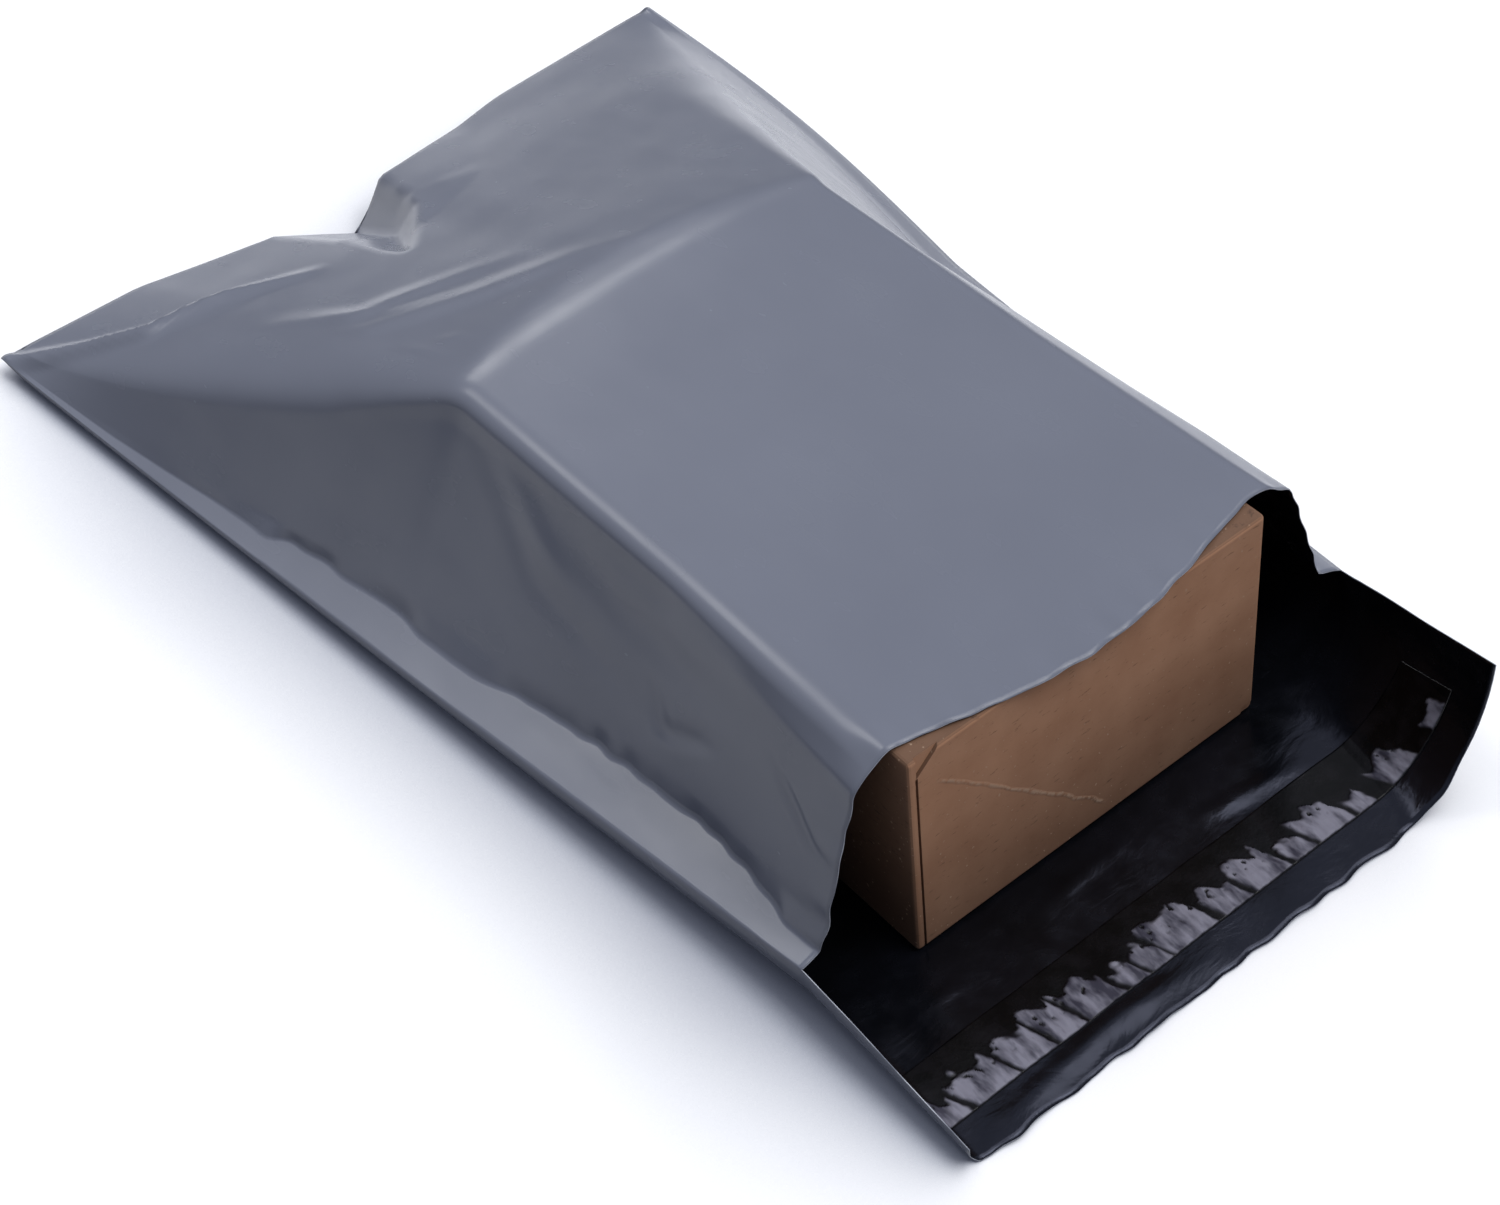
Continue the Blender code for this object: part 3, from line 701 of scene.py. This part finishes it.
def flapGrid(rowsY, count):
    # inside face of the flap and its curled margins, with their waves
    grid = np.array([backRow(v, even(count)) for v in rowsY])
    out = smooth(mouthY, mouthY - 0.02, grid[..., 1])
    waves = 0.5 + 0.5 * ripple(grid[..., :2], flap["waveMm"], 31)
    grid[..., 2] += flap["wave"] * np.clip(waves, 0, None) * out
    for crease in flap["creases"]:
        grid[..., 2:] += creaseHeight(grid, {"soft": True, **crease})
    # cut edge: slightly wavy, with the near corner torn off
    last = smooth(flapEndY + flap["edgeReach"], flapEndY, grid[..., 1])
    grid[..., 1] += last * flap["edgeWave"] * ripple(grid[..., :1], flap["edgeMm"], 32)
    torn = smooth(flap["cornerFrom"], flap["cornerTo"], grid[..., 0]) * last
    grid[..., 1] += torn * (flap["cornerCut"] + flap["torn"] * ripple(grid[..., :1], flap["tornMm"], 33))
    return grid


def backGrid(front):
    # the back sheet's columns are even at the mouth and meet the front's at the closed end
    few = film["backColumns"]
    endX = np.maximum.accumulate(front[-1, ::columns // few, 0])
    meeting = (endX - endX[0]) / (endX[-1] - endX[0])
    back = [backRow(y, mix(even(few), meeting, ((y - mouthY) / film["bodyLength"]) ** 2), front[-1])
            for y in bodyRows()[1:-1]]
    back = np.array(back)
    back[:, 0] = front[1:-1, 0]
    back[:, -1] = front[1:-1, -1]
    return back


def buildFilm():
    rows, few = film["rows"], film["backColumns"]
    ratio = columns // few
    front = frontGrid()
    back = backGrid(front)
    flapPoints = flapGrid(np.linspace(mouthY, flapEndY, film["flapRows"] + 1), columns)
    flapPoints[0, 0] = front[0, 0]
    flapPoints[0, -1] = front[0, -1]

    verts = [tuple(p) for p in front.reshape(-1, 3)]
    faces = gridFaces(0, rows, columns)

    def frontAt(r, c):
        return r * (columns + 1) + c

    # back sheet inside the bag, welded to the front sheet along both sides
    backStart = len(verts)
    verts += [tuple(p) for p in back[:, 1:-1].reshape(-1, 3)]

    def backAt(r, c):
        if c == 0:
            return frontAt(r, 0)
        if c == few:
            return frontAt(r, columns)
        return backStart + (r - 1) * (few - 1) + c - 1

    for r in range(1, rows - 1):
        for c in range(few):
            faces.append((backAt(r, c), backAt(r + 1, c), backAt(r + 1, c + 1), backAt(r, c + 1)))
    # folded closed end, several front columns to each back one
    for c in range(few):
        edge = [frontAt(rows, ratio * c + k) for k in range(ratio + 1)]
        faces.append((backAt(rows - 1, c + 1), backAt(rows - 1, c), *edge))
    # flap, from the mouth out to its cut edge
    flapStart = len(verts)
    verts += [tuple(p) for p in flapPoints[0, 1:-1]]
    flapFirst = [frontAt(0, 0)] + list(range(flapStart, flapStart + columns - 1)) + [frontAt(0, columns)]
    rest = len(verts)
    verts += [tuple(p) for p in flapPoints[1:].reshape(-1, 3)]
    lines = [flapFirst] + [list(range(rest + r * (columns + 1), rest + (r + 1) * (columns + 1)))
                           for r in range(film["flapRows"])]
    for this, following in zip(lines, lines[1:]):
        for c in range(columns):
            faces.append((this[c], this[c + 1], following[c + 1], following[c]))
    for c in range(few):
        line = flapFirst[ratio * c:ratio * c + ratio + 1]
        faces.append((backAt(1, c), backAt(1, c + 1), *line[::-1]))
    return newMesh("mailer_film", verts, faces)


def newMesh(name, verts, faces):
    mesh = bpy.data.meshes.new(name)
    mesh.from_pydata(verts, [], faces)
    mesh.validate()
    made = bpy.data.objects.new(name, mesh)
    bpy.context.scene.collection.objects.link(made)
    made.data.shade_smooth()
    return made


# blown low-density polyethylene, grey skin: satin with soft highlights, faintly crinkled
greyFilm = {
    "colour": "#686c78",
    "pale": "#6c707c",
    # painted highlight of the cut edge
    "cutEdgeHighlight": "#b4b8c1",
    "roughness": 0.24,
    "ior": 1.51,
    "specular": 0.28,
    "cloudMm": 60.0,              # faint unevenness of the grey
    "glossMm": 9.0,
    "crinkleMm": 16.0,
    "edgeMm": 12.0,               # painted highlight on the cut edge, in stretches of this length
}


def greyFilmMaterial():
    material, tree, shader = newMaterial("grey blown polyethylene", IOR=greyFilm["ior"],
                                         Specular_IOR_Level=greyFilm["specular"])
    cloud = addNode(tree, "TexNoise", {"Vector": inMillimetres(tree)},
                    {"Scale": 1 / greyFilm["cloudMm"], "Detail": 3})
    colour = twoTones(tree, cloud, 0.3, 0.7, greyFilm["colour"], greyFilm["pale"])
    gloss = addNode(tree, "TexNoise", {"Vector": inMillimetres(tree, (1, 0.4, 1))},
                    {"Scale": 1 / greyFilm["glossMm"], "Detail": 3})
    rough = addNode(tree, "MapRange", {"Value": gloss},
                    {"From Min": 0.25, "From Max": 0.75, "To Min": greyFilm["roughness"] - 0.03,
                     "To Max": greyFilm["roughness"] + 0.05})
    crinkle = addNode(tree, "TexNoise", {"Vector": inMillimetres(tree, (1, 0.5, 1))},
                      {"Scale": 1 / greyFilm["crinkleMm"], "Detail": 1.5, "Roughness": 0.4})
    bump = addNode(tree, "Bump", {"Height": crinkle}, {"Strength": 0.12, "Distance": 1.0 * mm})
    link(tree, shader, {"Base Color": colour, "Roughness": rough, "Normal": bump})
    return material


def cutEdgeMaterial():
    # freshly cut edge of the film: its thin pale line is painted highlight, where the edge catches the
    # light
    material, tree, shader = newMaterial("cut edge of the film", IOR=greyFilm["ior"], Roughness=0.3)
    cloud = addNode(tree, "TexNoise", {"Vector": inMillimetres(tree)},
                    {"Scale": 1 / greyFilm["edgeMm"], "Detail": 2})
    # painted highlight along the cut edge, in stretches
    colour = twoTones(tree, cloud, 0.4, 0.6, greyFilm["colour"], greyFilm["cutEdgeHighlight"])
    link(tree, shader, {"Base Color": colour})
    return material


# carbon-black inner skin of the same film: near black, glossier, with navy highlights
blackFilm = {
    "colour": "#050608",
    "pale": "#0b0c11",
    "highlight": "#dbe1ff",
    "roughness": 0.22,
    "ior": 1.51,
    "specular": 0.26,
    "cloudMm": 25.0,
    "glossMm": 7.0,
    "crinkleMm": 11.0,
    "grainMm": 1.5,               # drawn coarser than the real grain, so that it shows
}


def blackFilmMaterial():
    material, tree, shader = newMaterial("black blown polyethylene", IOR=blackFilm["ior"],
                                         Specular_IOR_Level=blackFilm["specular"],
                                         Specular_Tint=hexToLinear(blackFilm["highlight"]))
    point = inMillimetres(tree)
    cloud = addNode(tree, "TexNoise", {"Vector": point}, {"Scale": 1 / blackFilm["cloudMm"], "Detail": 3})
    colour = twoTones(tree, cloud, 0.35, 0.7, blackFilm["colour"], blackFilm["pale"])
    gloss = addNode(tree, "TexNoise", {"Vector": point}, {"Scale": 1 / blackFilm["glossMm"], "Detail": 3})
    rough = addNode(tree, "MapRange", {"Value": gloss},
                    {"From Min": 0.3, "From Max": 0.7, "To Min": blackFilm["roughness"] - 0.05,
                     "To Max": blackFilm["roughness"] + 0.08})
    crinkle = addNode(tree, "TexNoise", {"Vector": inMillimetres(tree, (0.6, 1, 1))},
                      {"Scale": 1 / blackFilm["crinkleMm"], "Detail": 4, "Roughness": 0.55,
                       "Distortion": 0.8})
    bump = addNode(tree, "Bump", {"Height": crinkle}, {"Strength": 0.3, "Distance": 1.0 * mm})
    grain = addNode(tree, "TexNoise", {"Vector": point}, {"Scale": 1 / blackFilm["grainMm"]})
    bump = addNode(tree, "Bump", {"Height": grain, "Normal": bump},
                   {"Strength": 0.1, "Distance": 0.05 * mm})
    link(tree, shader, {"Base Color": colour, "Roughness": rough, "Normal": bump})
    return material


def giveThickness(made, thickness):
    shell = made.modifiers.new("thickness", "SOLIDIFY")
    shell.thickness = thickness
    shell.offset = -1
    return shell


def makeFilm():
    made = buildFilm()
    for material in (greyFilmMaterial(), blackFilmMaterial(), cutEdgeMaterial()):
        made.data.materials.append(material)
    shell = giveThickness(made, film["thickness"])
    shell.material_offset = 1
    shell.material_offset_rim = 2
    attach(made, "root")
    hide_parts("mailer_bag")
    print("film made,", len(made.data.polygons), "faces")


# band of glue across the flap, and the release liner over it

strip = {
    "inner": -0.0248,             # edge nearer the mouth
    "outer": -0.0439,
    "left": -0.0894,
    "right": 0.0849,
    "rows": 44,
    "columns": 620,
    "glueThickness": 0.30 * mm,
    "glueLift": 0.30 * mm,        # over the grey face of the flap
    "linerThickness": 0.08 * mm,
    "linerLift": 0.66 * mm,
    "blister": 0.5 * mm,          # where the liner has lifted off the glue
    "ribMm": 2.4,                 # fine ribs across the lifted stretches
    "patternMm": 19.0,            # width that the patches' outlines are drawn for
    "slant": 0.22,
    "ragged": 0.11,               # torn look of a patch's edge, large and small
    "raggedMm": (5.5, 2.0),
    "finger": 0.08,
    "bubbleMm": 2.6,
    # lifted patches along the outer edge: from, to (mm), share of the width that they take
    "patches": [(-88, -80, 0.42), (-78, -64.5, 0.50), (-63, -52, 0.52), (-50.5, -42, 0.66),
                (-40.5, -29, 0.60), (-27, -21, 0.34), (-19.5, -13, 0.40), (-12, 3, 0.62),
                (5.5, 15, 0.46), (17, 29, 0.58), (31, 38, 0.36), (39.5, 52, 0.52), (54, 60, 0.30),
                (66, 76, 0.46), (84, 92, 0.25)],
}


def stripGrid(lift):
    rowsY = np.linspace(strip["outer"], strip["inner"], strip["rows"] + 1)
    wide = flapGrid(rowsY[::-1], 700)[::-1]
    keep = (wide[0, :, 0] > strip["left"]) & (wide[0, :, 0] < strip["right"])
    wide = np.array([resample(row[keep], even(strip["columns"])) for row in wide])
    normal = gridNormals(wide)
    return wide + normal * lift, normal


def liftedShare(grid):
    # 1 where the liner has let go of the glue, 0 where it still lies tight
    share = even(strip["rows"])[:, None]                     # 0 at the outer edge
    across = share * strip["patternMm"]
    place = (strip["left"] + lengthAlong(grid[0])) / mm + strip["slant"] * across
    flat = np.stack([place, np.broadcast_to(across, place.shape)], -1) * mm
    large, small = strip["raggedMm"]
    rough = ripple(flat, large, 41) * 0.5 + ripple(flat, small, 42) * 0.2
    bubbles = smooth(0.8, 1.1, ripple(flat, strip["bubbleMm"], 44)) * smooth(0.25, 0.4, share)
    lifted = np.zeros(place.shape)
    for start, end, wide in strip["patches"]:
        along = smooth(start - 0.5, start + 0.5, place + rough * 0.5)
        along = along * smooth(end + 0.5, end - 0.5, place + rough * 0.5)
        finger = strip["finger"] * np.sin((place - start) * 0.7 + start)
        top = wide + finger + strip["ragged"] * rough
        lifted = np.maximum(lifted, along * smooth(top + 0.04, top - 0.04, share))
    return lifted * (1 - bubbles) * smooth(0.0, 0.03, share)


def storeOnPoints(mesh, name, values):
    layer = mesh.attributes.new(name, "FLOAT", "POINT")
    layer.data.foreach_set("value", values.astype(np.float32).ravel())


def gluePiece():
    grid = stripGrid(strip["glueLift"] + strip["glueThickness"])[0]
    faces = gridFaces(0, strip["rows"], strip["columns"])
    made = newMesh("glue_band", [tuple(p) for p in grid.reshape(-1, 3)], faces)
    giveThickness(made, strip["glueThickness"])
    made.data.materials.append(glueMaterial())
    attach(made, "root")
    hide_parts("adhesive_strip")


def linerPiece():
    grid, normal = stripGrid(strip["linerLift"])
    lifted = liftedShare(grid)
    ribs = ripple(grid[..., :2] * np.array([1.0, 0.35]), strip["ribMm"], 43)
    grid = grid + normal * (strip["blister"] * lifted * (0.7 + 0.3 * ribs))[..., None]
    faces = gridFaces(0, strip["rows"], strip["columns"])
    made = newMesh("clear_liner", [tuple(p) for p in grid.reshape(-1, 3)], faces)
    storeOnPoints(made.data, "lifted", lifted)
    giveThickness(made, strip["linerThickness"])
    made.data.materials.append(linerMaterial())
    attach(made, "root")
    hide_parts("release_liner")


# hot-melt pressure-sensitive glue: dark amber over the black film, wet-looking
glue = {
    "colour": "#0e0c0c",
    "pale": "#1a1615",
    "roughness": 0.2,
    "ior": 1.5,
    "smearMm": 5.0,
}


def glueMaterial():
    material, tree, shader = newMaterial("hot-melt glue", Roughness=glue["roughness"], IOR=glue["ior"])
    smear = addNode(tree, "TexNoise", {"Vector": inMillimetres(tree, (0.4, 1, 1))},
                    {"Scale": 1 / glue["smearMm"], "Detail": 4})
    colour = twoTones(tree, smear, 0.35, 0.65, glue["colour"], glue["pale"])
    bump = addNode(tree, "Bump", {"Height": smear}, {"Strength": 0.3, "Distance": 0.3 * mm})
    link(tree, shader, {"Base Color": colour, "Normal": bump})
    return material


# siliconed polyester release film, clear: it takes the glue's dark tone where it lies tight; where air has
# got under it, the liner really lifts, and its silvery look there is painted reflection in its colour
liner = {
    "tight": ("#060607", "#111013"),
    # painted reflection: the silvery look of the lifted liner, in streaks
    "lifted": ("#383742", "#7c7b87"),
    "tightRoughness": 0.24,
    "liftedRoughness": 0.34,
    "ior": 1.6,
    "specular": 0.08,
    "cloudMm": 6.0,
    "streakMm": 3.5,
    "clingMm": 1.2,               # fine specks where it clings to the glue
}


def linerMaterial():
    material, tree, shader = newMaterial("siliconed polyester film", IOR=liner["ior"],
                                         Specular_IOR_Level=liner["specular"])
    lifted = addNode(tree, "Attribute", attribute_name="lifted").outputs["Fac"]
    point = inMillimetres(tree)
    streaks = addNode(tree, "TexNoise", {"Vector": inMillimetres(tree, (1, 0.35, 1))},
                      {"Scale": 1 / liner["streakMm"], "Detail": 3, "Roughness": 0.5})
    # painted reflection where the liner has lifted off the glue
    paintedSilverSheen = twoTones(tree, streaks, 0.35, 0.58, *liner["lifted"])
    cloud = addNode(tree, "TexNoise", {"Vector": point}, {"Scale": 1 / liner["cloudMm"], "Detail": 3})
    tight = twoTones(tree, cloud, 0.4, 0.7, *liner["tight"])
    colour = addNode(tree, "Mix", {0: lifted, 6: tight, 7: paintedSilverSheen}, data_type="RGBA")
    rough = addNode(tree, "MapRange", {"Value": lifted}, {"To Min": liner["tightRoughness"],
                                                          "To Max": liner["liftedRoughness"]})
    cling = addNode(tree, "TexNoise", {"Vector": point}, {"Scale": 1 / liner["clingMm"], "Detail": 3})
    bump = addNode(tree, "Bump", {"Height": cling}, {"Strength": 0.25, "Distance": 0.15 * mm})
    link(tree, shader, {"Base Color": colour.outputs[2], "Roughness": rough, "Normal": bump})
    return material


def makeStrip():
    gluePiece()
    linerPiece()
    print("glue band and liner made")


# carton

# unbleached kraft liner on corrugated board: matt, fibrous, flecked, scuffed where it was bent
kraft = {
    "colour": "#8a6349",
    "pale": "#9b7459",
    "dark": "#5c412f",
    "speck": "#b49a82",
    "speckShare": 0.55,           # how strongly specks and the scar show
    "roughness": 0.82,
    "ior": 1.47,
    "cloudMm": 18.0,
    "fibreMm": 1.1,
    "speckMm": 1.3,
    "flutePitchMm": 7.3,
    "footPaintedShade": 0.60,             # painted shade, darker at its foot, and painted light, lighter towards the top
    "topPaintedLight": 1.38,
    "topPaintedLightMm": 55.0,            # from this height up
    "sidePaintedShade": 0.40,             # the near side, darkened: painted shade
    "lidTone": 0.34,              # the top, shaded by the film
    "scarFrom": (-50, 62),        # scuffed crease over the front, (x, z) in mm
    "scarTo": (6, 6),
    "scarWide": 0.8,
    "scarWander": 1.6,            # mm to either side
    "scarWanderMm": 8.0,
    "scarTornMm": 1.6,
}


def scarMask(tree, point):
    # 1 on the scuffed crease, broken into short torn stretches
    start, end = Vector(kraft["scarFrom"]), Vector(kraft["scarTo"])
    way = (end - start).normalized()
    half = (end - start).length / 2
    wander = addNode(tree, "TexNoise", {"Vector": point}, {"Scale": 1 / kraft["scarWanderMm"], "Detail": 2})
    wander = addNode(tree, "MapRange", {"Value": wander}, {"To Min": -kraft["scarWander"],
                                                           "To Max": kraft["scarWander"]})
    place = addNode(tree, "VectorMath", {0: point}, {1: (start.x, 0, start.y)}, operation="SUBTRACT")
    across = addNode(tree, "VectorMath", {0: place}, {1: (-way.y, 0, way.x)}, operation="DOT_PRODUCT")
    across = addNode(tree, "Math", {0: across.outputs["Value"], 1: wander}, operation="ADD")
    across = addNode(tree, "Math", {0: across}, operation="ABSOLUTE")
    line = addNode(tree, "MapRange", {"Value": across}, {"From Min": kraft["scarWide"], "From Max": 0.2})
    along = addNode(tree, "VectorMath", {0: place}, {1: (way.x, 0, way.y)}, operation="DOT_PRODUCT")
    along = addNode(tree, "Math", {0: along.outputs["Value"]}, {1: half}, operation="SUBTRACT")
    along = addNode(tree, "Math", {0: along}, operation="ABSOLUTE")
    within = addNode(tree, "MapRange", {"Value": along}, {"From Min": half, "From Max": half - 3})
    face = addNode(tree, "SeparateXYZ", {0: point})
    front = addNode(tree, "Math", {0: face.outputs["Y"]}, {1: 0.8}, operation="LESS_THAN")
    torn = addNode(tree, "TexNoise", {"Vector": point}, {"Scale": 1 / kraft["scarTornMm"], "Detail": 3})
    torn = addNode(tree, "MapRange", {"Value": torn}, {"From Min": 0.42, "From Max": 0.56})
    mask = addNode(tree, "Math", {0: line, 1: within}, operation="MULTIPLY")
    mask = addNode(tree, "Math", {0: mask, 1: front}, operation="MULTIPLY")
    return addNode(tree, "Math", {0: mask, 1: torn}, operation="MULTIPLY"), mask


def kraftPaintedShade(tree, point):
    # painted shade and light on the carton, as a factor on its plain colour: darker at its foot, on its
    # near side and on its top, lighter high up
    height = addNode(tree, "SeparateXYZ", {0: point})
    # painted shade at the foot and painted light high up, by height alone
    tone = addNode(tree, "MapRange", {"Value": height.outputs["Z"]},
                   {"From Max": kraft["topPaintedLightMm"], "To Min": kraft["footPaintedShade"],
                    "To Max": kraft["topPaintedLight"]})
    facing = addNode(tree, "SeparateXYZ", {0: addNode(tree, "TexCoord").outputs["Normal"]})
    # painted shade on the near side, by which way the face looks
    side = addNode(tree, "MapRange", {"Value": facing.outputs["X"]},
                   {"From Min": -0.9, "From Max": -0.3, "To Min": kraft["sidePaintedShade"]})
    tone = addNode(tree, "Math", {0: tone, 1: side}, operation="MULTIPLY")
    lid = addNode(tree, "MapRange", {"Value": facing.outputs["Z"]},
                  {"From Min": 0.3, "From Max": 0.9, "To Min": 1.0, "To Max": kraft["lidTone"]})
    return addNode(tree, "Math", {0: tone, 1: lid}, operation="MULTIPLY")


def kraftMaterial():
    material, tree, shader = newMaterial("unbleached kraft board", Roughness=kraft["roughness"],
                                         IOR=kraft["ior"])
    point = inMillimetres(tree)
    cloud = addNode(tree, "TexNoise", {"Vector": point}, {"Scale": 1 / kraft["cloudMm"], "Detail": 4})
    colour = twoTones(tree, cloud, 0.3, 0.7, kraft["colour"], kraft["pale"])
    fibres = addNode(tree, "TexNoise", {"Vector": inMillimetres(tree, (0.25, 0.25, 1))},
                     {"Scale": 1 / kraft["fibreMm"], "Detail": 4, "Roughness": 0.7})
    fleck = addNode(tree, "MapRange", {"Value": fibres}, {"From Min": 0.60, "From Max": 0.72})
    colour = addNode(tree, "Mix", {0: fleck, 6: colour}, {7: hexToLinear(kraft["dark"])},
                     data_type="RGBA")
    # the plain colour times the painted shade and light
    colour = addNode(tree, "VectorMath", {0: colour.outputs[2], "Scale": kraftPaintedShade(tree, point)},
                     operation="SCALE")
    specks = addNode(tree, "TexNoise", {"Vector": point}, {"Scale": 1 / kraft["speckMm"], "Detail": 1})
    specks = addNode(tree, "MapRange", {"Value": specks}, {"From Min": 0.70, "From Max": 0.76})
    torn, scar = scarMask(tree, point)
    pale = addNode(tree, "Math", {0: specks, 1: torn}, operation="MAXIMUM")
    pale = addNode(tree, "Math", {0: pale}, {1: kraft["speckShare"]}, operation="MULTIPLY")
    colour = addNode(tree, "Mix", {0: pale, 6: colour}, {7: hexToLinear(kraft["speck"])}, data_type="RGBA")
    bump = addNode(tree, "Bump", {"Height": scar}, {"Strength": 0.4, "Distance": 0.25 * mm})
    bump = addNode(tree, "Bump", {"Height": fibres, "Normal": bump},
                   {"Strength": 0.25, "Distance": 0.12 * mm})
    # bands of this node repeat every 1 / (3.18 * scale)
    flutes = addNode(tree, "TexWave", {"Vector": point}, {"Scale": 1 / kraft["flutePitchMm"] / 3.18,
                                                         "Distortion": 0.6}, bands_direction="X")
    bump = addNode(tree, "Bump", {"Height": flutes, "Normal": bump},
                   {"Strength": 0.1, "Distance": 0.15 * mm})
    link(tree, shader, {"Base Color": colour.outputs[2], "Normal": bump})
    return material


def makeCarton():
    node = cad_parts["carton"]
    node.data.materials.clear()
    node.data.materials.append(kraftMaterial())
    print("carton given its kraft board")


def main():
    makeCamera()
    makeStudio()
    makeFilm()
    makeStrip()
    makeCarton()


main()
